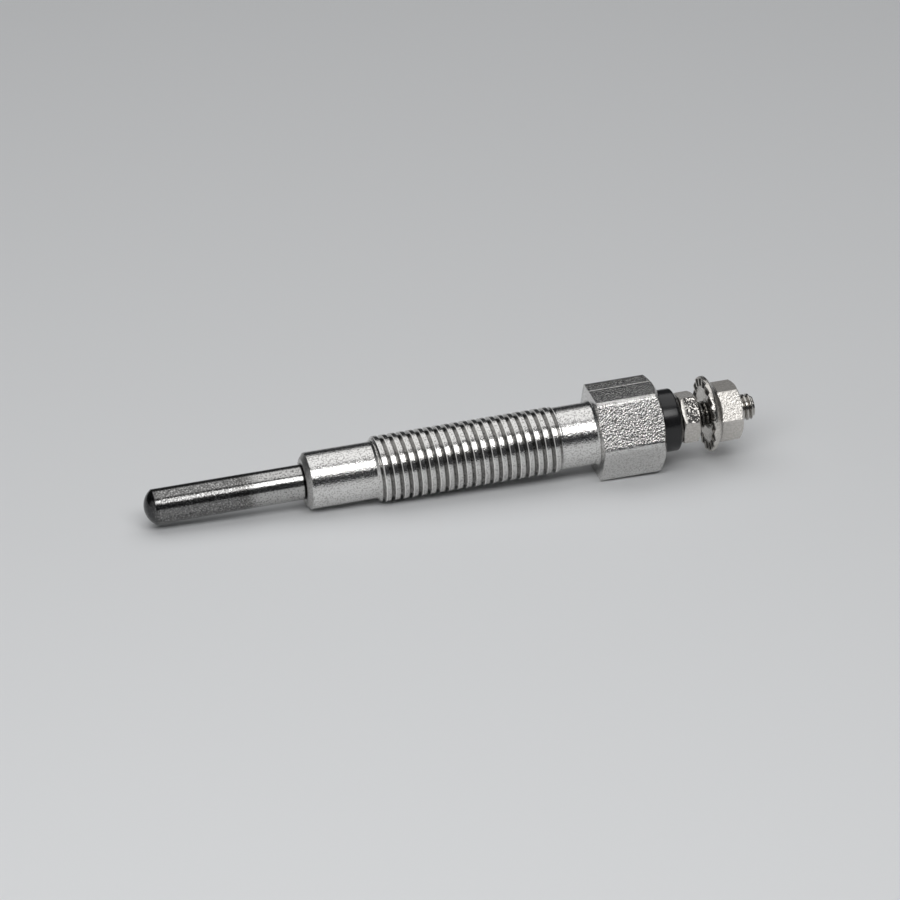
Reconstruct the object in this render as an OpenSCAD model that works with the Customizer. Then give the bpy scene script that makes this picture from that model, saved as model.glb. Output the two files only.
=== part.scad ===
// Diesel glow plug with a sheathed heater, a screwed steel body and a stud terminal with two nuts.
// The plug lies along X, heater tip towards -X and terminal towards +X, on a flat of its hexagon.
// The origin is on the axis at the rim of the conical seat on the body's nose. Millimetres.

/* [Body] */
// Diameter of the plain nose in front of the thread
nose_d = 8.6; // [7.8:0.1:9.2]
// Length of the plain nose behind the conical seat
nose_length = 9.9; // [6:0.1:16]
// Length of the conical seat along the axis
seat_depth = 0.7; // [0.4:0.1:1.2]
// Width of the flat ring between the seat and the heater's hole
seat_land = 0.5; // [0.3:0.05:0.7]
// Major diameter of the body thread
thread_d = 10; // [9.4:0.1:12]
// Length of the full thread
thread_length = 27.5; // [16:0.5:40]
// Distance from one thread groove to the next
thread_pitch = 1.375; // [1:0.125:1.75]
// Depth of the thread grooves
thread_depth = 0.5; // [0.3:0.05:0.7]
// Length over which the thread runs out into the shank
thread_runout = 0.5; // [0.3:0.1:1.5]
// Diameter of the plain shank behind the thread
shank_d = 9.5; // [8.8:0.1:10.4]
// Length of the plain shank up to the hexagon
shank_length = 5.4; // [2:0.1:12]
// Radius of the fillet between the shank and the hexagon
shank_fillet = 0.6; // [0.3:0.1:0.8]
// Width across the flats of the hexagon
hex_af = 13; // [12.5:0.5:17]
// Length of the hexagon
hex_length = 9.9; // [7:0.1:14]
// Amount turned off each corner of the hexagon
hex_blunting = 0.15; // [0.05:0.05:0.3]
// Diameter of the counterbore that holds the seal ring and the insulator's neck
counterbore_d = 7.6; // [7.2:0.1:9]
// Depth of the counterbore
counterbore_depth = 4.3; // [3.6:0.1:6]
// Extra radius of the bore behind the pressed length of the sheath
bore_relief = 0.35; // [0.1:0.05:0.45]
// Size of the countersink at the mouth of the heater's hole
mouth_chamfer = 0.25; // [0.1:0.05:0.4]

/* [Heater] */
// Outer diameter of the heater sheath
sheath_d = 5.3; // [4.8:0.1:5.6]
// Length of sheath that stands out of the nose
heater_reach = 24.1; // [16:0.1:40]
// Length of sheath pressed into the body
press_depth = 20; // [14:0.5:26]
// Wall of the sheath
sheath_wall = 0.5; // [0.4:0.05:0.6]
// Radius of the domed tip
tip_radius = 3.2; // [2.9:0.1:6]
// Thickness of the welded tip along the axis
tip_thickness = 2; // [1.6:0.1:3]
// Diameter of the coil wire
wire_d = 0.4; // [0.3:0.05:0.5]
// Turns of the heating coil at the tip
heating_turns = 12; // [6:1:16]
// Pitch of the heating coil
heating_pitch = 0.85; // [0.6:0.05:1]
// Turns of the regulating coil behind it
regulating_turns = 16; // [8:1:20]
// Pitch of the regulating coil
regulating_pitch = 1.05; // [0.7:0.05:1.2]
// Wall of packed powder between the coils and the sheath
powder_wall = 0.5; // [0.3:0.05:0.6]
// Length of the rubber seal in the sheath's mouth
sheath_seal_length = 3; // [2:0.1:5]

/* [Terminal] */
// Diameter of the rod where it runs inside the sheath
rod_front_d = 2.8; // [2.4:0.1:3]
// Length of the rod's tip that carries the last turns of the coil
rod_tip_length = 2.4; // [1.5:0.1:4]
// Diameter of the rod in the body's bore
rod_d = 3.5; // [3.1:0.1:3.8]
// Major diameter of the terminal thread
stud_d = 4; // [3.9:0.1:5]
// Length of stud that stands out past the flange nut
stud_reach = 2.5; // [1:0.1:8]
// Chamfer on the stud's end
stud_chamfer = 0.4; // [0.2:0.05:0.6]
// Outer diameter of the insulator
insulator_d = 9.5; // [9.2:0.1:12]
// Length of the insulator's straight rim
insulator_rim = 2.7; // [1:0.1:5]
// Width of the bevel on the insulator's rear edge
insulator_bevel = 1; // [0.4:0.05:1.2]
// Length of that bevel along the axis
insulator_bevel_length = 0.65; // [0.4:0.05:1.5]
// Width across the flats of the clamp nut
clamp_nut_af = 7; // [6.5:0.5:8]
// Angle at which the clamp nut came to rest, from the body's hexagon
clamp_nut_turn = -12; // [-30:1:30]
// Height of the clamp nut
clamp_nut_height = 2.85; // [2:0.1:4]
// Space between the nuts for a cable eye
eye_gap = 1.25; // [0.5:0.05:4]
// Width across the flats of the flange nut
flange_nut_af = 8; // [7:0.5:9]
// Angle at which the flange nut came to rest, from the body's hexagon
flange_nut_turn = -5; // [-30:1:30]
// Height of the flange nut with its teeth
flange_nut_height = 5.3; // [4:0.1:7]
// Diameter of the nut's flange
flange_d = 11.5; // [11:0.1:14]
// Thickness of the flange's rim with its teeth
flange_rim = 0.85; // [0.7:0.05:1.5]
// Slope of the flange's back, from its face
flange_slope = 35; // [20:1:45]
// Teeth round the flange's bearing face
tooth_count = 18; // [12:1:34]
// Height of the teeth
tooth_height = 0.3; // [0.1:0.05:0.4]
// Length of the teeth, from the rim inwards
tooth_length = 1.5; // [1:0.1:1.8]

/* [Fits] */
// Radial clearance between pieces that fit in one another
fit_gap = 0.02; // [0.01:0.01:0.05]
// Clearance of the coils in the powder and on the rod's tip
coil_gap = 0.06; // [0.05:0.01:0.1]
// Clearance of the insulator's neck in the counterbore
neck_gap = 0.1; // [0.05:0.05:0.2]

/* [Hidden] */
$fn = 96;

// Angle of the chamfer on a hexagon's ends, and the chamfer circle's share of the flats
hex_chamfer_angle = 30;
hex_face_share = 0.95;
// Share of the thread's pitch that a groove takes at its mouth
thread_groove_share = 0.5;
// How far cutters run past what they cut, and added shapes run into what carries them
over = 1;
bite = 0.1;
// Amount off each corner of the nuts
nut_blunting = 0.02;
// Countersink at the ends of the nuts' bores, and the dish inside the flange's ring of teeth
nut_countersink = 0.3;
flange_dish = 0.3;
rim_break = 0.15;
// Share of a tooth's width before its crest, and of the tooth ring's inner pitch that a tooth fills
tooth_crest_share = 0.25;
tooth_fill = 0.95;
// Sides of the coil wire and rings in one turn
wire_sides = 6;
rings_per_turn = 14;

// Radii
nose_r = nose_d / 2;
thread_r = thread_d / 2;
shank_r = shank_d / 2;
sheath_r = sheath_d / 2;
sheath_inner_r = sheath_r - sheath_wall;
bore_r = sheath_r + fit_gap;
relief_r = bore_r + bore_relief;
counterbore_r = counterbore_d / 2;
rod_r = rod_d / 2;
rod_front_r = rod_front_d / 2;
stud_r = stud_d / 2;
stud_hole_r = stud_r + fit_gap;
flange_r = flange_d / 2;
wire_r = wire_d / 2;
coil_slot_r = sheath_inner_r - powder_wall;
coil_r = coil_slot_r - coil_gap - wire_r;
coil_inner_r = coil_r - wire_r;
rod_tip_r = coil_inner_r - coil_gap;
seal_cord_r = (counterbore_r - rod_r) / 2 - fit_gap;

// Places along the axis, from the tip to the stud's end
nose_front = -seat_depth;
tip_end = nose_front - heater_reach;
thread_start = nose_length + (thread_r - nose_r);
thread_end = thread_start + thread_length;
thread_grooves = floor(thread_length / thread_pitch - thread_groove_share);
shank_start = thread_end + thread_runout;
hex_front = shank_start + shank_length;
hex_rear = hex_front + hex_length;
counterbore_floor = hex_rear - counterbore_depth;
insulator_end = hex_rear + insulator_rim + insulator_bevel_length;
clamp_nut_end = insulator_end + clamp_nut_height;
flange_face = clamp_nut_end + eye_gap;
flange_nut_end = flange_face + flange_nut_height;
stud_end = flange_nut_end + stud_reach;

// Places along the axis inside the plug
sheath_end = nose_front + press_depth;
seal_front = sheath_end - sheath_seal_length;
powder_front = tip_end + tip_thickness;
coil_start = powder_front + wire_r + coil_gap;
coil_joint = coil_start + heating_turns * heating_pitch;
coil_end = coil_joint + regulating_turns * regulating_pitch;
rod_shoulder = coil_end + wire_r + coil_gap;
rod_tip = rod_shoulder - rod_tip_length;
neck_end = counterbore_floor + 2 * (seal_cord_r + fit_gap);

// Lays a shape that is modelled along Z along the plug's axis
module along_plug() {
    rotate([0, 90, 0]) children();
}

// Solid of revolution about Z from points [radius, place]
module turned(points) {
    rotate_extrude() polygon(points);
}

// Ring about Z between two radii and two places
module sleeve(inner, outer, from, to) {
    turned([[inner, from], [outer, from], [outer, to], [inner, to]]);
}

// Hexagon on Z with a flat towards -X, blunted corners and a chamfer on the ends that ask for one
module chamfered_hexagon(af, blunting, from, to, front, rear) {
    corner = af / sqrt(3) - blunting;
    face = hex_face_share * af / 2;
    drop = (corner - face) * tan(hex_chamfer_angle);
    intersection() {
        translate([0, 0, from]) rotate(30) cylinder(r = af / sqrt(3), h = to - from, $fn = 6);
        turned(concat(
            [[0, from]],
            front ? [[face, from], [corner, from + drop]] : [[corner, from]],
            rear ? [[corner, to - drop], [face, to]] : [[corner, to]],
            [[0, to]]
        ));
    }
}

// Bore along Z with a countersink at both ends
module nut_bore(from, to) {
    wide = stud_hole_r + nut_countersink + over;
    turned([
        [0, from - over], [wide, from - over],
        [stud_hole_r, from + nut_countersink], [stud_hole_r, to - nut_countersink],
        [wide, to + over], [0, to + over]
    ]);
}

// Outer shape of the body in front of the hexagon: seat, nose, thread, shank and fillet
// The thread is drawn as one ring groove for each turn, so that its crests stay true cylinders
module turned_body() {
    seat_r = bore_r + mouth_chamfer + seat_land;
    half_groove = thread_groove_share * thread_pitch / 2;
    thread = [
        for (i = [1 : thread_grooves])
            let (middle = thread_start + i * thread_pitch)
            each [[thread_r, middle - half_groove], [thread_r - thread_depth, middle],
                  [thread_r, middle + half_groove]]
    ];
    rotate_extrude() union() {
        polygon(concat(
            [[0, nose_front], [seat_r, nose_front], [nose_r, 0], [nose_r, nose_length], [thread_r, thread_start]],
            thread,
            [[thread_r, thread_end], [shank_r, shank_start], [shank_r, hex_front + bite], [0, hex_front + bite]]
        ));
        difference() {
            translate([shank_r - bite, hex_front - shank_fillet])
                square([shank_fillet + bite, shank_fillet + bite]);
            translate([shank_r + shank_fillet, hex_front - shank_fillet]) circle(shank_fillet);
        }
    }
}

// Stepped hole through the body: heater's press fit, relief and counterbore
module body_bore() {
    turned([
        [0, nose_front - over], [bore_r + mouth_chamfer + over, nose_front - over],
        [bore_r, nose_front + mouth_chamfer], [bore_r, sheath_end],
        [relief_r, sheath_end + bore_relief], [relief_r, counterbore_floor],
        [counterbore_r, counterbore_floor], [counterbore_r, hex_rear + over], [0, hex_rear + over]
    ]);
}

// Steel body, turned from hexagon bar in one piece
module body() {
    color("silver") along_plug() difference() {
        union() {
            turned_body();
            chamfered_hexagon(hex_af, hex_blunting, hex_front, hex_rear, false, true);
        }
        body_bore();
    }
}

// Heat-proof alloy tube with a welded, domed tip
module heater_sheath() {
    color("dimgray") along_plug() difference() {
        intersection() {
            translate([0, 0, tip_end]) cylinder(r = sheath_r, h = sheath_end - tip_end);
            union() {
                translate([0, 0, tip_end + tip_radius]) sphere(tip_radius);
                translate([0, 0, tip_end + tip_radius]) cylinder(r = tip_radius, h = sheath_end - tip_end);
            }
        }
        translate([0, 0, powder_front]) cylinder(r = sheath_inner_r, h = sheath_end - powder_front + over);
    }
}

// Round wire wound about Z: one ring of points for each step along the helix
module wound_wire(from, pitch, turns, start_turn) {
    steps = turns * rings_per_turn;
    points = [
        for (i = [0 : steps], k = [0 : wire_sides - 1])
            let (
                turn = start_turn + i / rings_per_turn,
                around = 360 * k / wire_sides,
                r = coil_r + wire_r * cos(around)
            )
            [r * cos(360 * turn), r * sin(360 * turn),
             from + pitch * i / rings_per_turn + wire_r * sin(around)]
    ];
    sides = [
        for (i = [0 : steps - 1], k = [0 : wire_sides - 1])
            let (
                a = i * wire_sides + k,
                b = i * wire_sides + (k + 1) % wire_sides
            )
            each [[a, a + wire_sides, b + wire_sides], [a, b + wire_sides, b]]
    ];
    front_cap = [for (k = [0 : wire_sides - 1]) k];
    rear_cap = [for (k = [wire_sides - 1 : -1 : 0]) steps * wire_sides + k];
    polyhedron(points, concat(sides, [front_cap, rear_cap]));
}

// Heating coil, welded into the tip
module heating_coil() {
    color("darkgray") along_plug() wound_wire(coil_start, heating_pitch, heating_turns, 0);
}

// Regulating coil, joined to the heating coil and wound on the rod's tip
module regulating_coil() {
    color("lightgray") along_plug() wound_wire(coil_joint, regulating_pitch, regulating_turns, heating_turns);
}

// Packed magnesia powder: a sleeve round the coils and the rod, and a core inside the coils
module insulating_powder() {
    outer = sheath_inner_r - fit_gap;
    rod_hole = rod_front_r + fit_gap;
    color("ivory") along_plug() {
        turned([
            [coil_slot_r, powder_front], [outer, powder_front], [outer, seal_front],
            [rod_hole, seal_front], [rod_hole, rod_shoulder], [coil_slot_r, rod_shoulder]
        ]);
        translate([0, 0, powder_front]) cylinder(r = rod_tip_r, h = rod_tip - powder_front);
    }
}

// Rubber seal that closes the sheath round the rod
module sheath_seal() {
    color("brown") along_plug()
        sleeve(rod_front_r + fit_gap, sheath_inner_r - fit_gap, seal_front, sheath_end);
}

// Steel terminal rod: coil tip, front length, main length and threaded stud
module terminal_rod() {
    color("gainsboro") along_plug() turned([
        [0, rod_tip], [rod_tip_r, rod_tip], [rod_tip_r, rod_shoulder],
        [rod_front_r, rod_shoulder], [rod_front_r, sheath_end],
        [rod_r, sheath_end + (rod_r - rod_front_r)], [rod_r, hex_rear - (stud_r - rod_r)],
        [stud_r, hex_rear], [stud_r, stud_end - stud_chamfer],
        [stud_r - stud_chamfer, stud_end], [0, stud_end]
    ]);
}

// Rubber ring that seals the rod in the counterbore
module body_seal_ring() {
    middle = (counterbore_r + rod_r) / 2;
    color("darkslategray") along_plug() translate([0, 0, counterbore_floor + seal_cord_r + fit_gap])
        rotate_extrude() translate([middle, 0]) circle(seal_cord_r);
}

// Black moulded insulator: neck in the counterbore, rim on the hexagon, bevelled rear edge
module insulator() {
    neck_r = counterbore_r - neck_gap;
    rim_r = insulator_d / 2;
    color("black") along_plug() turned([
        [stud_hole_r, neck_end], [neck_r, neck_end], [neck_r, hex_rear], [rim_r, hex_rear],
        [rim_r, hex_rear + insulator_rim], [rim_r - insulator_bevel, insulator_end],
        [stud_hole_r, insulator_end]
    ]);
}

// Thin nut that clamps the insulator down on the body
module clamp_nut() {
    color("whitesmoke") along_plug() difference() {
        rotate(clamp_nut_turn)
            chamfered_hexagon(clamp_nut_af, nut_blunting, insulator_end, clamp_nut_end, true, true);
        nut_bore(insulator_end, clamp_nut_end);
    }
}

// Flange under the terminal nut: dished bearing face, straight rim and sloping back
module nut_flange() {
    face = flange_face + tooth_height;
    rim_top = flange_face + flange_rim;
    back_end = flange_nut_end - nut_countersink - bite;
    back_r = flange_r - (back_end - rim_top) / tan(flange_slope);
    inner_r = max(back_r, stud_hole_r);
    inner_end = rim_top + (flange_r - inner_r) * tan(flange_slope);
    turned([
        [0, face + flange_dish], [stud_hole_r, face + flange_dish], [flange_r - tooth_length, face],
        [flange_r - rim_break, face], [flange_r, face + rim_break], [flange_r, rim_top],
        [inner_r, inner_end], [0, inner_end]
    ]);
}

// Ring of ratchet teeth on the flange's bearing face
module flange_teeth() {
    inner_r = flange_r - tooth_length;
    width = tooth_fill * 2 * inner_r * sin(180 / tooth_count);
    root = tooth_height + bite;
    translate([0, 0, flange_face]) intersection() {
        for (i = [0 : tooth_count - 1])
            rotate(i * 360 / tooth_count) translate([inner_r, -width / 2, 0]) rotate([90, 0, 90])
                linear_extrude(tooth_length)
                    polygon([[0, root], [0, tooth_height], [tooth_crest_share * width, 0],
                             [width, tooth_height], [width, root]]);
        cylinder(r = flange_r - rim_break, h = root);
    }
}

// Terminal nut with a serrated flange, in one piece
module flange_nut() {
    color("whitesmoke") along_plug() difference() {
        union() {
            nut_flange();
            flange_teeth();
            rotate(flange_nut_turn)
                chamfered_hexagon(flange_nut_af, nut_blunting, flange_face + flange_rim,
                                  flange_nut_end, false, true);
        }
        nut_bore(flange_face + tooth_height, flange_nut_end);
    }
}

body();
heater_sheath();
heating_coil();
regulating_coil();
insulating_powder();
sheath_seal();
terminal_rod();
body_seal_ring();
insulator();
clamp_nut();
flange_nut();
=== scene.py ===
# Diesel glow plug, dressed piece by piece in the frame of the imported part.
# The plug lies along X with its heater tip towards -X, and rests on a flat of its hexagon and on its thread.

import math

import bpy
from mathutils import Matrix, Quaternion, Vector


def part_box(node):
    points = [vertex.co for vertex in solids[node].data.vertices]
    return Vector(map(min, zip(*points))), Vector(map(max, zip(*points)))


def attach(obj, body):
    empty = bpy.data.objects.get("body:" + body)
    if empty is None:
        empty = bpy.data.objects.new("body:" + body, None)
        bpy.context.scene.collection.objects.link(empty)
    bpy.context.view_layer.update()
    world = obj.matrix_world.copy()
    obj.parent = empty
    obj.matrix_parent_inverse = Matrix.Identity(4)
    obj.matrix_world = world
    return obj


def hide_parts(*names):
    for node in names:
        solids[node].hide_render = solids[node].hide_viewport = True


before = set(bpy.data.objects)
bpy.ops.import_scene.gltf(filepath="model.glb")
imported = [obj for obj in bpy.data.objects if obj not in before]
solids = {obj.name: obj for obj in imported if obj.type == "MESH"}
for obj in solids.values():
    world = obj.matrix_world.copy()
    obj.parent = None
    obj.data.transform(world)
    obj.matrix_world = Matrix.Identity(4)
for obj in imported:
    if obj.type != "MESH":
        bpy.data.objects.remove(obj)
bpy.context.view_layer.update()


# Heater sheath: the glowing rod, a tube of heat-proof steel with a welded and domed tip.
# It is pressed into the body's nose. Running hot has tempered it to a dark grey as far as a brown band,
# and the cooler length next to the nose has stayed bright.
MM = 0.001


def turned_skin(name, columns, rings, closed=False):
    """Mesh object through rings about X. A ring is one (x, radius) or a list of them, one for each column."""
    points, faces, starts = [], [], []
    for ring in rings:
        starts.append(len(points))
        if isinstance(ring, tuple) and ring[1] == 0:
            points.append((ring[0] * MM, 0.0, 0.0))
            continue
        for column in range(columns):
            x, radius = ring if isinstance(ring, tuple) else ring[column]
            angle = 2 * math.pi * column / columns
            points.append((x * MM, radius * MM * math.cos(angle), radius * MM * math.sin(angle)))
    starts.append(len(points))
    order = list(range(len(rings))) + ([0] if closed else [])
    for first, second in zip(order, order[1:]):
        a, b = starts[first], starts[second]
        pole_a = starts[first + 1] - a == 1
        pole_b = starts[second + 1] - b == 1
        for column in range(columns):
            after = (column + 1) % columns
            if pole_a:
                faces.append((a, b + after, b + column))
            elif pole_b:
                faces.append((a + column, a + after, b))
            else:
                faces.append((a + column, a + after, b + after, b + column))
    mesh = bpy.data.meshes.new(name)
    mesh.from_pydata(points, [], faces)
    made = bpy.data.objects.new(name, mesh)
    bpy.context.scene.collection.objects.link(made)
    return made


def eased(outline, steps=4):
    """Outline of (x, radius) points, where a third number rounds that corner over so many millimetres."""
    made = []
    for place, corner in enumerate(outline):
        here = Vector(corner[:2])
        if len(corner) == 2:
            made.append(tuple(here))
            continue
        before = Vector(outline[place - 1][:2])
        after = Vector(outline[(place + 1) % len(outline)][:2])
        start = here + (before - here).normalized() * corner[2]
        end = here + (after - here).normalized() * corner[2]
        for step in range(steps + 1):
            t = step / steps
            made.append(tuple(start.lerp(here, t).lerp(here.lerp(end, t), t)))
    return made


def smooth(piece, crease):
    """Smooth shading that stops at edges sharper than the crease, in degrees."""
    piece.data.shade_smooth()
    piece.data.set_sharp_from_angle(angle=math.radians(crease))


class Value:
    """A number, colour or vector in a node tree. Arithmetic on it adds the maths nodes."""

    def __init__(self, tree, socket):
        self.tree, self.socket = tree, socket

    def node(self, kind, output=0, settings=None, **inputs):
        """The output of any node, with its settings and the values or links of its sockets.

        A socket goes by its name, with _ for a space, or by i and its number.
        """
        made = self.tree.nodes.new(kind)
        for name, value in (settings or {}).items():
            setattr(made, name, value)
        for name, value in inputs.items():
            numbered = name[0] == "i" and name[1:].isdigit()
            place = made.inputs[int(name[1:]) if numbered else name.replace("_", " ")]
            if isinstance(value, Value):
                self.tree.links.new(value.socket, place)
            else:
                place.default_value = value
        return Value(self.tree, made.outputs[output])

    def maths(self, operation, *others):
        """This number and any others through a Math node."""
        numbers = {"i%d" % place: value for place, value in enumerate((self, *others))}
        return self.node("ShaderNodeMath", 0, {"operation": operation}, **numbers)

    def __add__(self, other):
        return self.maths("ADD", other)

    __radd__ = __add__

    def __sub__(self, other):
        return self.maths("SUBTRACT", other)

    def __rsub__(self, other):
        return self.node("ShaderNodeMath", 0, {"operation": "SUBTRACT"}, i0=other, i1=self)

    def __mul__(self, other):
        return self.maths("MULTIPLY", other)

    __rmul__ = __mul__

    def __truediv__(self, other):
        return self.maths("DIVIDE", other)

    def between(self, low, high):
        """0 below low and 1 above high, smooth between them. With low above high it falls instead."""
        return self.node("ShaderNodeMapRange", 0, {"interpolation_type": "SMOOTHSTEP"},
                         Value=self, From_Min=low, From_Max=high)


def material(name):
    """New material: its shader, and its Object coordinates in millimetres."""
    made = bpy.data.materials.new(name)
    made.use_nodes = True
    tree = made.node_tree
    shader = tree.nodes["Principled BSDF"]
    metres = Value(tree, tree.nodes.new("ShaderNodeTexCoord").outputs["Object"])
    place = metres.node("ShaderNodeVectorMath", 0, {"operation": "SCALE"}, Vector=metres, Scale=1 / MM)
    return made, shader, place


def feed(shader, **inputs):
    """Links or sets a shader's sockets."""
    for name, value in inputs.items():
        socket = shader.inputs[name.replace("_", " ")]
        if isinstance(value, Value):
            value.tree.links.new(value.socket, socket)
        else:
            socket.default_value = value


def measure(place, axis):
    """Distance along one axis of the plug, in millimetres."""
    return place.node("ShaderNodeSeparateXYZ", "XYZ".index(axis), {}, Vector=place)


def noise(place, scale, detail=3.0, roughness=0.55, stretch=(1, 1, 1)):
    """Even noise about 0.5, with so many cells to the millimetre."""
    if stretch != (1, 1, 1):
        place = place.node("ShaderNodeVectorMath", 0, {"operation": "MULTIPLY"}, i0=place, i1=stretch)
    return place.node("ShaderNodeTexNoise", 0, {}, Vector=place, Scale=scale, Detail=detail,
                      Roughness=roughness)


def blend(factor, first, second):
    """Mix of two colours, each a Value or red, green and blue."""
    first, second = (colour if isinstance(colour, Value) else (*colour, 1.0) for colour in (first, second))
    return factor.node("ShaderNodeMix", 2, {"data_type": "RGBA"}, i0=factor, i6=first, i7=second)


def bump(height, depth=1.0):
    """Normal from a height, where 1 is so many millimetres deep."""
    return height.node("ShaderNodeBump", 0, {}, Height=height, Distance=depth * MM)


sheath_low, sheath_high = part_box("heater_sheath")
tip = sheath_low.x / MM
sheath_radius = sheath_high.z / MM
sheath_rear = sheath_high.x / MM
nose_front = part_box("body")[0].x / MM
tip_radius = 3.2
tip_thickness = 2.0
sheath_wall = 0.5
sheath_edge = 0.05
dome_steps = 14
ROUND_COLUMNS = 96
dome_angle = math.asin(sheath_radius / tip_radius)
dome = [(tip, 0.0)]
for step in range(1, dome_steps + 1):
    angle = dome_angle * step / dome_steps
    dome.append((tip + tip_radius * (1 - math.cos(angle)), tip_radius * math.sin(angle)))
dome_end = dome[-1][0]
inside = sheath_radius - sheath_wall
sheath = turned_skin("heater_sheath_tube", ROUND_COLUMNS, dome + [
    (dome_end + sheath_edge, sheath_radius), (sheath_rear - sheath_edge, sheath_radius),
    (sheath_rear, sheath_radius - sheath_edge), (sheath_rear, inside),
    (tip + tip_thickness, inside), (tip + tip_thickness, 0.0)])
smooth(sheath, crease=30)

temper_wander = 1.6
brown_start, brown_full = -12.0, -10.0
brown_fade, brown_end = -9.8, -7.6
bright_start, bright_full = -10.6, -7.2
dark_temper = (0.19, 0.188, 0.185)
bright_temper = (0.48, 0.475, 0.465)
brown_band = (0.10, 0.095, 0.090)
rubbed_grain = (0.60, 0.595, 0.585)
sooty_grain = (0.04, 0.04, 0.04)
tip_soot = (0.045, 0.045, 0.047)
mouth_painted_shade = (0.01, 0.01, 0.01)
tempered, shader, place = material("tempered_sheath_steel")
along = measure(place, "X")
grain = noise(place, 3.8, 3.0, 0.65)
edge = along + (noise(place, 0.55) - 0.5) * temper_wander
bright = edge.between(bright_start, bright_full)
brown = edge.between(brown_start, brown_full) * (1 - edge.between(brown_fade, brown_end))
metal = blend(bright, dark_temper, bright_temper)
metal = blend(brown * 0.5, metal, brown_band)
metal = blend(grain.between(0.5, 0.70) * 0.75, metal, rubbed_grain)
metal = blend(grain.between(0.5, 0.3) * 0.85, metal, sooty_grain)
metal = blend((1 - along.between(tip + 0.6, tip + 2.4)) * 0.85, metal, tip_soot)
# Painted shade: a near-black ring on the sheath where it enters the nose.
metal = blend(along.between(nose_front - 0.4, nose_front - 0.2), metal, mouth_painted_shade)
feed(shader, Base_Color=metal, Metallic=1.0, Roughness=0.18 + (grain - 0.5) * 0.2 - bright * 0.03,
     Normal=bump(grain, 0.011))
sheath.data.materials.append(tempered)
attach(sheath, "root")
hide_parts("heater_sheath")


# Inside: two wire coils in packed magnesia powder, and rubber seals in the sheath's mouth and round the rod.
# None of them shows. They stay as the solids that the part has, each with a finish of its own.
wire, shader, place = material("coil_wire")
feed(shader, Base_Color=blend(noise(place, 4.0), (0.30, 0.29, 0.28), (0.46, 0.44, 0.42)),
     Metallic=1.0, Roughness=0.35 + noise(place, 9.0) * 0.2)
powder, shader, place = material("packed_powder")
feed(shader, Base_Color=blend(noise(place, 5.0), (0.80, 0.78, 0.72), (0.92, 0.90, 0.85)),
     Roughness=0.9, Normal=bump(noise(place, 12.0), 0.03))
rubber, shader, place = material("seal_rubber")
feed(shader, Base_Color=blend(noise(place, 3.0), (0.020, 0.020, 0.021), (0.045, 0.044, 0.043)),
     Roughness=0.62, Normal=bump(noise(place, 14.0), 0.01))
for name, finish in (("heating_coil", wire), ("regulating_coil", wire), ("insulating_powder", powder),
                     ("sheath_seal", rubber), ("body_seal_ring", rubber)):
    solids[name].data.materials.clear()
    solids[name].data.materials.append(finish)


# Body: turned from steel hexagon bar in one piece, bored through, thread rolled, then zinc plated.
# The plating is a satin grey: the flats of the drawn bar keep a coarser grain than the turned lengths.
# The thread's grooves are painted darker as shade, and each crest has a thin painted highlight along one
# edge.
BODY_COLUMNS = 192


def hexagon(columns, flats, corner, turn=0.0):
    """Radius at each column of a hexagon with a flat towards +Z, its corners cut back to a turned radius."""
    angles = [(360 * column / columns - turn) % 60 - 30 for column in range(columns)]
    return [min(flats / 2 / math.cos(math.radians(angle)), corner) for angle in angles]


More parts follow.
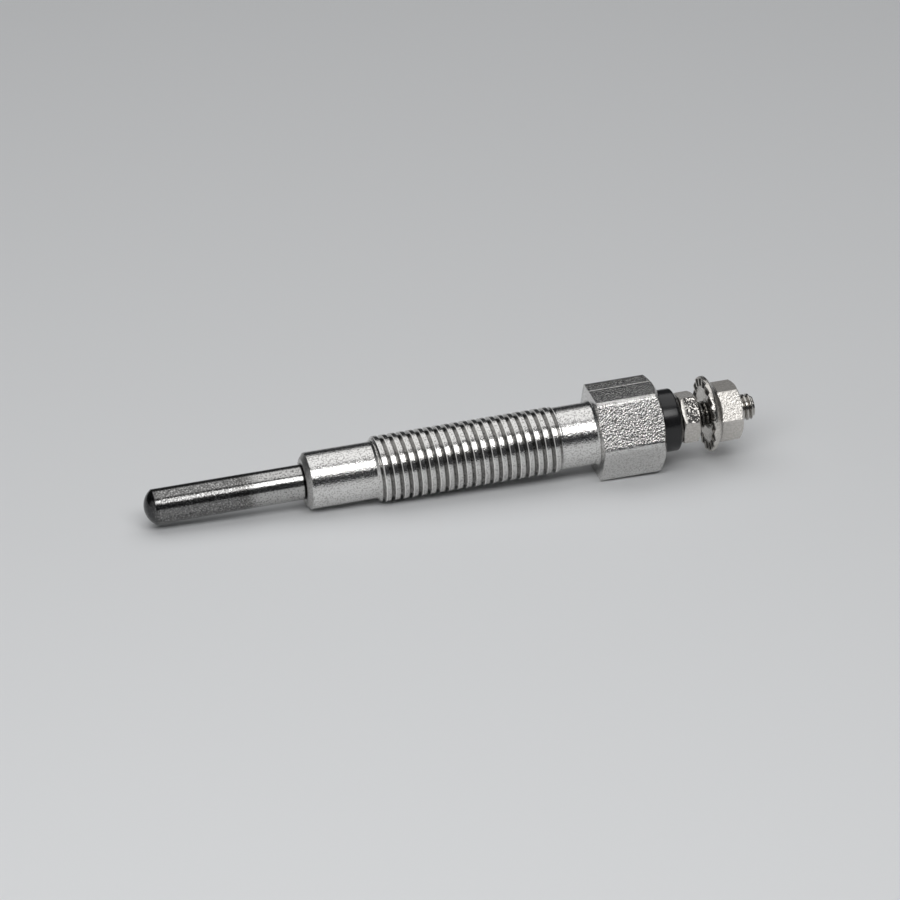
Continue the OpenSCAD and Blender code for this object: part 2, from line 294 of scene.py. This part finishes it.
def rolled_thread():
    """Node tree that closes the gap in a turned skin with a right-hand thread."""
    tree = bpy.data.node_groups.new("rolled_thread", "GeometryNodeTree")
    tree.is_modifier = True
    side = tree.interface
    side.new_socket("Skin", in_out="INPUT", socket_type="NodeSocketGeometry")
    for name in ("Pitch", "Major Radius", "Minor Radius", "Start", "Start Radius", "End", "End Radius",
                 "Run Out", "Crest Share"):
        side.new_socket(name, in_out="INPUT", socket_type="NodeSocketFloat")
    for name in ("Columns", "Rows", "Rows In A Turn"):
        side.new_socket(name, in_out="INPUT", socket_type="NodeSocketInt")
    side.new_socket("Finish", in_out="INPUT", socket_type="NodeSocketMaterial")
    side.new_socket("Skin", in_out="OUTPUT", socket_type="NodeSocketGeometry")
    given = tree.nodes.new("NodeGroupInput")
    size = {socket.name: Value(tree, socket) for socket in given.outputs if socket.name}
    new = size["Pitch"].node
    grid = new("GeometryNodeMeshGrid", Size_X=1.0, Size_Y=1.0,
               Vertices_X=size["Columns"] + 1, Vertices_Y=size["Rows"] + 1)
    flat = new("GeometryNodeInputPosition")
    turn = new("ShaderNodeSeparateXYZ", 0, Vector=flat) + 0.5
    row = ((new("ShaderNodeSeparateXYZ", 1, Vector=flat) + 0.5) * size["Rows"]).maths("ROUND")
    along = row / size["Rows In A Turn"]
    helix = size["Start"] + (along + turn - 1) * size["Pitch"]
    x = helix.maths("MAXIMUM", size["Start"]).maths("MINIMUM", size["End"])
    share = (along.maths("FRACT") - 0.5).maths("ABSOLUTE") * 2
    flank = (share - size["Crest Share"]) / (1 - size["Crest Share"])
    flank = flank.maths("MAXIMUM", 0.0).maths("MINIMUM", 1.0)
    radius = size["Major Radius"] - flank * (size["Major Radius"] - size["Minor Radius"])
    radius = radius.maths("MINIMUM", size["Start Radius"] + (x - size["Start"]))
    fade = x.between(size["End"] - size["Run Out"], size["End"])
    radius = radius + (size["End Radius"] - radius) * fade
    angle = turn * (2 * math.pi)
    placed = new("ShaderNodeCombineXYZ", X=x, Y=radius * angle.maths("COSINE"),
                 Z=radius * angle.maths("SINE"))
    thread = new("GeometryNodeSetPosition", Geometry=grid, Position=placed)
    join = tree.nodes.new("GeometryNodeJoinGeometry")
    tree.links.new(size["Skin"].socket, join.inputs[0])
    tree.links.new(thread.socket, join.inputs[0])
    whole = new("GeometryNodeMergeByDistance", Geometry=Value(tree, join.outputs[0]), Distance=2e-6)
    whole = new("GeometryNodeRealizeInstances", Geometry=whole)
    whole = new("GeometryNodeSetMaterial", Geometry=whole, Material=size["Finish"])
    end = tree.nodes.new("NodeGroupOutput")
    tree.links.new(whole.socket, end.inputs[0])
    return tree


def roll(piece, columns, finish, pitch, major, minor, start, end, run_out, crest):
    """Closes the skin's gap from start to end, each an (x, radius), with a thread in millimetres.

    The crest is the share of the pitch that is flat.
    """
    rows_in_a_turn = 16
    rows = math.ceil((end[0] - start[0]) / pitch + 1) * rows_in_a_turn
    sizes = {"Pitch": pitch * MM, "Major Radius": major * MM, "Minor Radius": minor * MM,
             "Start": start[0] * MM, "Start Radius": start[1] * MM,
             "End": end[0] * MM, "End Radius": end[1] * MM, "Run Out": run_out * MM,
             "Crest Share": crest, "Columns": columns, "Rows": rows,
             "Rows In A Turn": rows_in_a_turn, "Finish": finish}
    rolling = piece.modifiers.new("rolled_thread", "NODES")
    rolling.node_group = THREAD
    for socket in THREAD.interface.items_tree:
        if socket.in_out == "INPUT" and socket.name in sizes:
            rolling[socket.identifier] = sizes[socket.name]
    done = piece.evaluated_get(bpy.context.evaluated_depsgraph_get())
    mesh = bpy.data.meshes.new_from_object(done)
    piece.modifiers.remove(rolling)
    piece.data = mesh


def turn_share(across, upward):
    """Share of a turn round the plug's axis, from -0.5 to 0.5."""
    return upward.maths("ARCTAN2", across) / (2 * math.pi)


THREAD = rolled_thread()

body_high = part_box("body")[1]
hex_rear = body_high.x / MM
hex_flats = 2 * body_high.z / MM
hex_corner = body_high.y / MM
nose_radius = 4.3
nose_end = 9.9
nose_edge = 0.15
seat_radius = 3.42
seat_edge = 0.12
thread_radius = 5.0
thread_root = 4.48
thread_pitch = 1.375
thread_full = 38.1
thread_run_out = 1.0
thread_crest = 0.5
shank_start = 38.6
shank_radius = 4.75
hex_front = 44.0
shank_fillet = 0.6
fillet_steps = 6
bore_radius = sheath_radius + 0.02
bore_lead = 0.25
relief_step = 0.35
relief_radius = bore_radius + relief_step
counterbore_radius = 3.8
counterbore_floor = hex_rear - 4.3
face_share = 0.95
hex_face = face_share * hex_flats / 2
chamfer_slope = math.tan(math.radians(30))
edge_break = 0.07

hexes = hexagon(BODY_COLUMNS, hex_flats, hex_corner)
front = eased([
    (nose_front, bore_radius + bore_lead), (nose_front, seat_radius, seat_edge),
    (0.0, nose_radius, nose_edge), (nose_end, nose_radius)])
shank = [(shank_start, shank_radius), (hex_front - shank_fillet, shank_radius)]
for step in range(1, fillet_steps + 1):
    angle = math.pi / 2 * step / fillet_steps
    shank.append((hex_front - shank_fillet * (1 - math.sin(angle)),
                  shank_radius + shank_fillet * (1 - math.cos(angle))))
chamfer = [hex_rear - (radius - hex_face) * chamfer_slope for radius in hexes]
bar = [
    [(hex_front, radius - edge_break) for radius in hexes],
    [(hex_front + 0.3 * edge_break, radius - 0.3 * edge_break) for radius in hexes],
    [(hex_front + edge_break, radius) for radius in hexes],
    [(hex_front + 2 * edge_break, radius) for radius in hexes],
    [(x - 2 * edge_break, radius) for x, radius in zip(chamfer, hexes)],
    [(x - edge_break / 2, radius) for x, radius in zip(chamfer, hexes)],
    [(x + edge_break / 2, radius - edge_break) for x, radius in zip(chamfer, hexes)],
    (hex_rear, hex_face),
]
bore = [
    (hex_rear, counterbore_radius), (counterbore_floor, counterbore_radius),
    (counterbore_floor, relief_radius), (sheath_rear + relief_step, relief_radius),
    (sheath_rear, bore_radius), (nose_front + bore_lead, bore_radius),
]
body = turned_skin("screwed_body", BODY_COLUMNS, shank + bar + bore + front)

dull_zinc = (0.72, 0.712, 0.70)
clean_zinc = (0.84, 0.832, 0.815)
zinc_speckle = (0.36, 0.352, 0.34)
drawn_flat = (0.44, 0.435, 0.425)
flat_glint = (0.90, 0.89, 0.87)
seat_grey = (0.30, 0.295, 0.285)
rolled_grey = (0.26, 0.257, 0.25)
groove_painted_shade = (0.06, 0.059, 0.057)
painted_crest_highlight = (0.93, 0.92, 0.90)
score_middle = 0.9
score_width = 0.16
plated, shader, place = material("zinc_plated_steel")
along, across, upward = (measure(place, axis) for axis in "XYZ")
fine = noise(place, 4.6, 2.0, 0.6)
grit = noise(place, 3.7, 1.0, 0.5, (2.3, 1.0, 1.0))
lathe = noise(place, 6.0, 2.0, 0.5, (1.0, 0.04, 0.04))
patch = noise(place, 0.35)
speckle = noise(place, 4.0, 1.0).between(0.50, 0.62)
on_hexagon = along.between(hex_front - 0.02, hex_front + 0.02)
top_flat = upward.between(hex_flats / 2 - 0.10, hex_flats / 2 - 0.04) * on_hexagon
score = (1 - (across - score_middle).maths("ABSOLUTE").between(0.0, score_width)) * top_flat
on_seat = 1 - along.between(-0.15, 0.05)
on_thread = along.between(nose_end + 0.3, nose_end + 0.8)
on_thread = on_thread * (1 - along.between(thread_full, thread_full + 0.3))
in_pitch = ((along - nose_end) / thread_pitch - turn_share(across, upward)).maths("FRACT")
# Painted highlight: a thin bright line along each crest, made less metallic so it stays bright under any
# lamp.
crest_highlight_mask = 1 - (in_pitch - 0.27).maths("ABSOLUTE").between(0.02, 0.07)
# Painted shade: the thread's grooves are painted darker.
groove_shade_mask = (in_pitch - 0.5).maths("ABSOLUTE").between(0.27, 0.36)
tone = blend(patch, dull_zinc, clean_zinc)
tone = blend(speckle * 0.7, tone, zinc_speckle)
tone = blend(on_hexagon * 0.2, tone, drawn_flat)
tone = blend(on_hexagon * grit.between(0.52, 0.68) * 0.5, tone, flat_glint)
tone = blend(on_seat * 0.5, tone, seat_grey)
tone = blend(on_thread * 0.15, tone, rolled_grey)
tone = blend(on_thread * groove_shade_mask * 0.34, tone, groove_painted_shade)
tone = blend(on_thread * crest_highlight_mask, tone, painted_crest_highlight)
height = fine * 0.035 * (1 - on_thread * 0.4) + lathe * 0.006 * (1 - on_hexagon)
height = height + grit * on_hexagon * 0.075 - score * 0.06
feed(shader, Base_Color=tone, Metallic=1 - on_thread * crest_highlight_mask * 0.6,
     Roughness=0.14 + (fine - 0.5) * 0.12 + patch * 0.04 + on_seat * 0.2, Normal=bump(height))
roll(body, BODY_COLUMNS, plated, thread_pitch, thread_radius, thread_root, start=(nose_end, nose_radius),
     end=(shank_start, shank_radius), run_out=thread_run_out, crest=thread_crest)
smooth(body, crease=35)
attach(body, "root")
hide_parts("body")


# Insulator: a bush moulded in glossy black, with its neck in the body's counterbore.
# Its rim sits on the hexagon, and the clamp nut holds it down on its bevelled end.
# It keeps the terminal rod away from the body.
insulator_low, insulator_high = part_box("insulator")
insulator_end = insulator_high.x / MM
rim_radius = insulator_high.z / MM
neck_end = insulator_low.x / MM
neck_radius = counterbore_radius - 0.1
neck_edge = 0.1
rim_edge = 0.12
bevel = 1.0
bevel_length = 0.65
bevel_edge = 0.2
stud_hole = 2.02
insulator = turned_skin("insulator_bush", ROUND_COLUMNS, eased([
    (neck_end, stud_hole), (neck_end, neck_radius, neck_edge), (hex_rear, neck_radius),
    (hex_rear, rim_radius, rim_edge), (insulator_end - bevel_length, rim_radius, bevel_edge),
    (insulator_end, rim_radius - bevel, neck_edge), (insulator_end, stud_hole)]), closed=True)
smooth(insulator, crease=50)
black, shader, place = material("black_moulding")
skin_grain = noise(place, 5.0, 3.0)
feed(shader, Base_Color=blend(noise(place, 1.2), (0.007, 0.007, 0.008), (0.016, 0.016, 0.017)),
     Roughness=0.16 + skin_grain * 0.1, Normal=bump(skin_grain, 0.012))
insulator.data.materials.append(black)
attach(insulator, "root")
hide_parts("insulator")


# Terminal rod: a steel rod from the coils to the terminal, with an M4 thread rolled on its end.
# The two nuts leave a little of the thread bare between them, painted dark as shade, and a few turns at the
# end.
STUD_COLUMNS = 64
rod_low, rod_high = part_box("terminal_rod")
stud_end = rod_high.x / MM
stud_radius = rod_high.z / MM
stud_root = 1.6
stud_pitch = 0.7
stud_run_out = 0.6
stud_crest = 0.375
rod_tip = rod_low.x / MM
rod_radius = 1.75
rod_front_radius = 1.4
rod_tip_radius = 1.13
rod_shoulder = rod_tip + 2.4
rod_step = rod_radius - rod_front_radius
point_radius = 1.5
thread_end = (stud_end - 0.05, point_radius - 0.02)
flange_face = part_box("flange_nut")[0].x / MM
stud = turned_skin("terminal_stud", STUD_COLUMNS, [
    thread_end, (stud_end - 0.03, point_radius - 0.15), (stud_end, point_radius - 0.3), (stud_end, 0.0),
    (rod_tip, 0.0), (rod_tip, rod_tip_radius), (rod_shoulder, rod_tip_radius),
    (rod_shoulder, rod_front_radius), (sheath_rear, rod_front_radius),
    (sheath_rear + rod_step, rod_radius), (hex_rear, rod_radius)])
dull_steel = (0.44, 0.425, 0.40)
bright_steel = (0.56, 0.545, 0.52)
stud_painted_shade = (0.02, 0.02, 0.019)
stud_finish, shader, place = material("stud_steel")
along = measure(place, "X")
fine = noise(place, 9.0, 2.0)
# Painted shade: the bare thread between the two nuts is painted dark.
painted_shade_mask = (1 - along.between(flange_face + 0.4, flange_face + 0.8)) * noise(place, 3.6, 2.0).between(0.60, 0.48)
tone = blend(noise(place, 0.8), dull_steel, bright_steel)
tone = blend(painted_shade_mask * 0.9, tone, stud_painted_shade)
feed(shader, Base_Color=tone, Metallic=1.0, Roughness=0.14 + fine * 0.1 + painted_shade_mask * 0.2,
     Normal=bump(fine, 0.012))
roll(stud, STUD_COLUMNS, stud_finish, stud_pitch, stud_radius, stud_root, start=(hex_rear, rod_radius),
     end=thread_end, run_out=stud_run_out, crest=stud_crest)
smooth(stud, crease=50)
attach(stud, "root")
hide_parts("terminal_rod")


# Nuts: a thin M4 nut that clamps the insulator, and an M4 terminal nut forged in one piece with a flange,
# whose face has a ring of ratchet teeth round a dish, to bite into the cable eye. Both are zinc plated,
# in a warmer tone than the body, with stains left by the bath. Shade is painted into the valleys between
# the teeth, at the root of the flange's cone and on the clamp nut's front chamfer.
NUT_COLUMNS = 180
TEETH = 18
nut_edge = 0.04
corner_cut = 0.02
hole_lead = 0.3
clamp_low, clamp_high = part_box("clamp_nut")
clamp_front = clamp_low.x / MM
clamp_rear = clamp_high.x / MM
clamp_flats = 7.0
clamp_turn = -12.0
terminal_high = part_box("flange_nut")[1]
terminal_end = terminal_high.x / MM
terminal_flats = 8.0
terminal_turn = -5.0
flange_radius = terminal_high.z / MM
flange_slope = math.tan(math.radians(35))
rim_back = flange_face + 0.85
tooth_height = 0.3
tooth_length = 1.5
tooth_rise = 0.25
tooth_root = flange_radius - tooth_length
root_face = flange_face + tooth_height
dish_depth = 0.3


def nut_sides(flats, turn):
    """Radius of a nut's hexagon at each column."""
    return hexagon(NUT_COLUMNS, flats, flats / math.sqrt(3) - corner_cut, turn)


def end_face(sides, flats, x, way):
    """Rings over a nut's chamfer to its face at x, which looks along +X for way 1 and -X for way -1."""
    face = face_share * flats / 2
    chamfer = [x - way * (radius - face) * chamfer_slope for radius in sides]
    return [
        [(edge - way * 0.75 * nut_edge, radius) for edge, radius in zip(chamfer, sides)],
        [(edge + way * nut_edge / 2, radius - nut_edge) for edge, radius in zip(chamfer, sides)],
        (x, face),
    ]


def threaded_hole(from_x, to_x):
    """Rings of a nut's bore, from its rear face back to its front face."""
    return [(to_x, stud_hole + hole_lead), (to_x - hole_lead, stud_hole),
            (from_x + hole_lead, stud_hole), (from_x, stud_hole + hole_lead)]


def tooth(column):
    """Share of the tooth's height at a column: a steep rise and a long fall."""
    step = (column * TEETH / NUT_COLUMNS) % 1
    return step / tooth_rise if step < tooth_rise else (1 - step) / (1 - tooth_rise)


clamp_sides = nut_sides(clamp_flats, clamp_turn)
clamp = turned_skin("clamp_nut_m4", NUT_COLUMNS,
                    end_face(clamp_sides, clamp_flats, clamp_front, -1)[::-1]
                    + end_face(clamp_sides, clamp_flats, clamp_rear, 1)
                    + threaded_hole(clamp_front, clamp_rear), closed=True)
toothed = [root_face - tooth_height * tooth(column) for column in range(NUT_COLUMNS)]
terminal_sides = nut_sides(terminal_flats, terminal_turn)
cone_end = [rim_back + (flange_radius - radius) * flange_slope for radius in terminal_sides]
# The teeth's outer edge and the flange's rim are rounded over a few rings.
flange_front = [
    (root_face, tooth_root - 0.05),
    [(x, tooth_root + 0.15) for x in toothed],
    [(x, flange_radius - 0.22) for x in toothed],
    [(x + 0.08, flange_radius - 0.06) for x in toothed],
    [(max(x + 0.2, root_face), flange_radius) for x in toothed],
]
flange_back = [
    (rim_back - 0.12, flange_radius), (rim_back - 0.03, flange_radius - 0.04),
    (rim_back + 0.06, flange_radius - 0.13),
    [(x - 0.06, radius + 0.08) for x, radius in zip(cone_end, terminal_sides)],
    [(x + 0.06, radius) for x, radius in zip(cone_end, terminal_sides)],
]
flange = turned_skin("terminal_flange_nut", NUT_COLUMNS,
                     flange_front + flange_back + end_face(terminal_sides, terminal_flats, terminal_end, 1)
                     + threaded_hole(root_face + dish_depth, terminal_end), closed=True)

stained_zinc = (0.60, 0.577, 0.541)
bright_zinc = (0.78, 0.753, 0.715)
dark_spot = (0.03, 0.029, 0.028)
cone_shade = (0.08, 0.077, 0.073)
chamfer_painted_shade = (0.05, 0.048, 0.046)
nut_plating, shader, place = material("bright_zinc_plating")
along, across, upward = (measure(place, axis) for axis in "XYZ")
outward = (across * across + upward * upward).maths("SQRT")
fine = noise(place, 8.0, 2.0)
stain = noise(place, 3.2, 3.0, 0.6)
facing = math.radians(30 - clamp_turn)
spotted_flat = (upward * math.sin(facing) - across * math.cos(facing)).between(
    clamp_flats / 2 - 0.1, clamp_flats / 2 - 0.04)
spotted_flat = spotted_flat * along.between(clamp_front + 0.25, clamp_front + 0.9)
spotted_flat = spotted_flat * (1 - along.between(clamp_rear, clamp_rear + 0.2))
spots = noise(place, 3.7, 1.5).between(0.58, 0.53)
front_chamfer = 1 - along.between(clamp_front + 0.1, clamp_front + 0.3)
collar = along.between(flange_face - 0.5, flange_face - 0.3)
collar = collar * (1 - along.between(rim_back + 0.9, rim_back + 1.2))
cone_root = collar * along.between(rim_back + 0.2, rim_back + 0.8)
in_tooth = (turn_share(across, upward) * TEETH).maths("FRACT")
valley = (in_tooth - 0.28).maths("ABSOLUTE").between(0.10, 0.20)
toothed_ring = collar * (1 - along.between(root_face, root_face + 0.15))
toothed_ring = toothed_ring * outward.between(tooth_root, tooth_root + 0.2)
# Painted shade in the valleys between the teeth.
painted_shade_mask = valley * toothed_ring * (1 - outward.between(flange_radius - 0.4, flange_radius - 0.15))
tone = blend(stain.between(0.35, 0.7), stained_zinc, bright_zinc)
tone = blend(spots * spotted_flat, tone, dark_spot)
tone = blend(painted_shade_mask * 0.9, tone, dark_spot)
tone = blend(cone_root * 0.6, tone, cone_shade)
# Painted shade on the clamp nut's front chamfer, which faces the insulator.
tone = blend(front_chamfer * 0.8, tone, chamfer_painted_shade)
feed(shader, Base_Color=tone, Metallic=0.6 + (collar + front_chamfer) * 0.4,
     Roughness=0.14 + (fine - 0.5) * 0.12 + stain * 0.1 + painted_shade_mask * 0.5,
     Normal=bump(fine * 0.012 + stain * 0.055))
for nut in (clamp, flange):
    smooth(nut, crease=24)
    nut.data.materials.append(nut_plating)
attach(clamp, "root")
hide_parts("clamp_nut")
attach(flange, "root")
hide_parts("flange_nut")


# Floor: a pale matt table top. It leans so that the plug lies on it as it would by itself,
# on the front edge of its lowest flat and on the first full turn of its thread.
floor_reach = 1500.0
thread_start = nose_end + thread_radius - nose_radius
lean = (hex_flats / 2 - thread_radius) / (hex_front - thread_start)


def floor_height(x):
    """Height of the table top at a place along the plug."""
    return -hex_flats / 2 - (x - hex_front) * lean


floor_mesh = bpy.data.meshes.new("table_top")
floor_mesh.from_pydata(
    [(x * floor_reach * MM, y * floor_reach * MM, floor_height(x * floor_reach) * MM)
     for x, y in ((-1, -1), (1, -1), (1, 1), (-1, 1))], [], [(0, 1, 2, 3)])
floor = bpy.data.objects.new("table_top", floor_mesh)
bpy.context.scene.collection.objects.link(floor)
pale, shader, place = material("pale_table_top")
feed(shader, Base_Color=(0.765, 0.775, 0.785, 1.0), Roughness=0.7)
floor_mesh.materials.append(pale)


# Light: a soft box on the camera's side draws the long highlight, and a wide panel overhead and behind the
# plug lights its upper half. A weak panel at the heater's end and a dim room fill the rest.
def panel(name, aim, centre, size, watts):
    """Rectangular lamp that faces a point, in millimetres."""
    lamp = bpy.data.lights.new(name, "AREA")
    lamp.shape = "RECTANGLE"
    lamp.size, lamp.size_y = size[0] * MM, size[1] * MM
    lamp.energy = watts
    made = bpy.data.objects.new(name, lamp)
    made.location = Vector(centre) * MM
    made.rotation_mode = "QUATERNION"
    made.rotation_quaternion = (Vector(aim) - Vector(centre)).to_track_quat("-Z", "Y")
    bpy.context.scene.collection.objects.link(made)


def around_plug(elevation, distance, x):
    """Point round the plug's axis, at an elevation from the camera's side over the top."""
    angle = math.radians(elevation)
    return (x, -distance * math.cos(angle), distance * math.sin(angle))


panel("soft_box", aim=(-60, 0, 0), centre=around_plug(51.5, 420, -60), size=(540, 171), watts=1.06)
panel("overhead_panel", aim=(60, 0, 0), centre=around_plug(107, 520, 60), size=(800, 625), watts=1.57)
panel("side_panel", aim=(0, 0, 0), centre=(-600, -120, 150), size=(500, 260), watts=0.14)
world = bpy.data.worlds.new("dim_room")
world.use_nodes = True
feed(world.node_tree.nodes["Background"], Color=(0.5, 0.52, 0.55, 1.0), Strength=0.075)
bpy.context.scene.world = world


# Camera: the photograph's long lens, from the heater's side and above.
# The target is a point on the plug's axis, and its pixel sets the lens shift.
azimuth, elevation, roll_angle = (math.radians(angle) for angle in (-12.91, 27.12, -3.62))
target = Vector((24.05, 0.0, 0.0)) * MM
target_pixel = (463.7, 454.5)
picture_pixels = 900
pixels_in_a_millimetre = 6.696
camera_distance = 833.0
sensor = 36.0
back = Vector((math.sin(azimuth) * math.cos(elevation), -math.cos(azimuth) * math.cos(elevation),
               math.sin(elevation)))
lens = bpy.data.cameras.new("photo_lens")
lens.sensor_width = sensor
lens.lens = pixels_in_a_millimetre * camera_distance * sensor / picture_pixels
lens.shift_x = -(target_pixel[0] - picture_pixels / 2) / picture_pixels
lens.shift_y = (target_pixel[1] - picture_pixels / 2) / picture_pixels
lens.clip_start, lens.clip_end = 0.01, 20.0
camera = bpy.data.objects.new("photo_camera", lens)
camera.location = target + back * (camera_distance * MM)
camera.rotation_mode = "QUATERNION"
camera.rotation_quaternion = Quaternion(back, roll_angle) @ (-back).to_track_quat("-Z", "Y")
bpy.context.scene.collection.objects.link(camera)
bpy.context.scene.camera = camera
bpy.context.scene.view_settings.view_transform = "Standard"
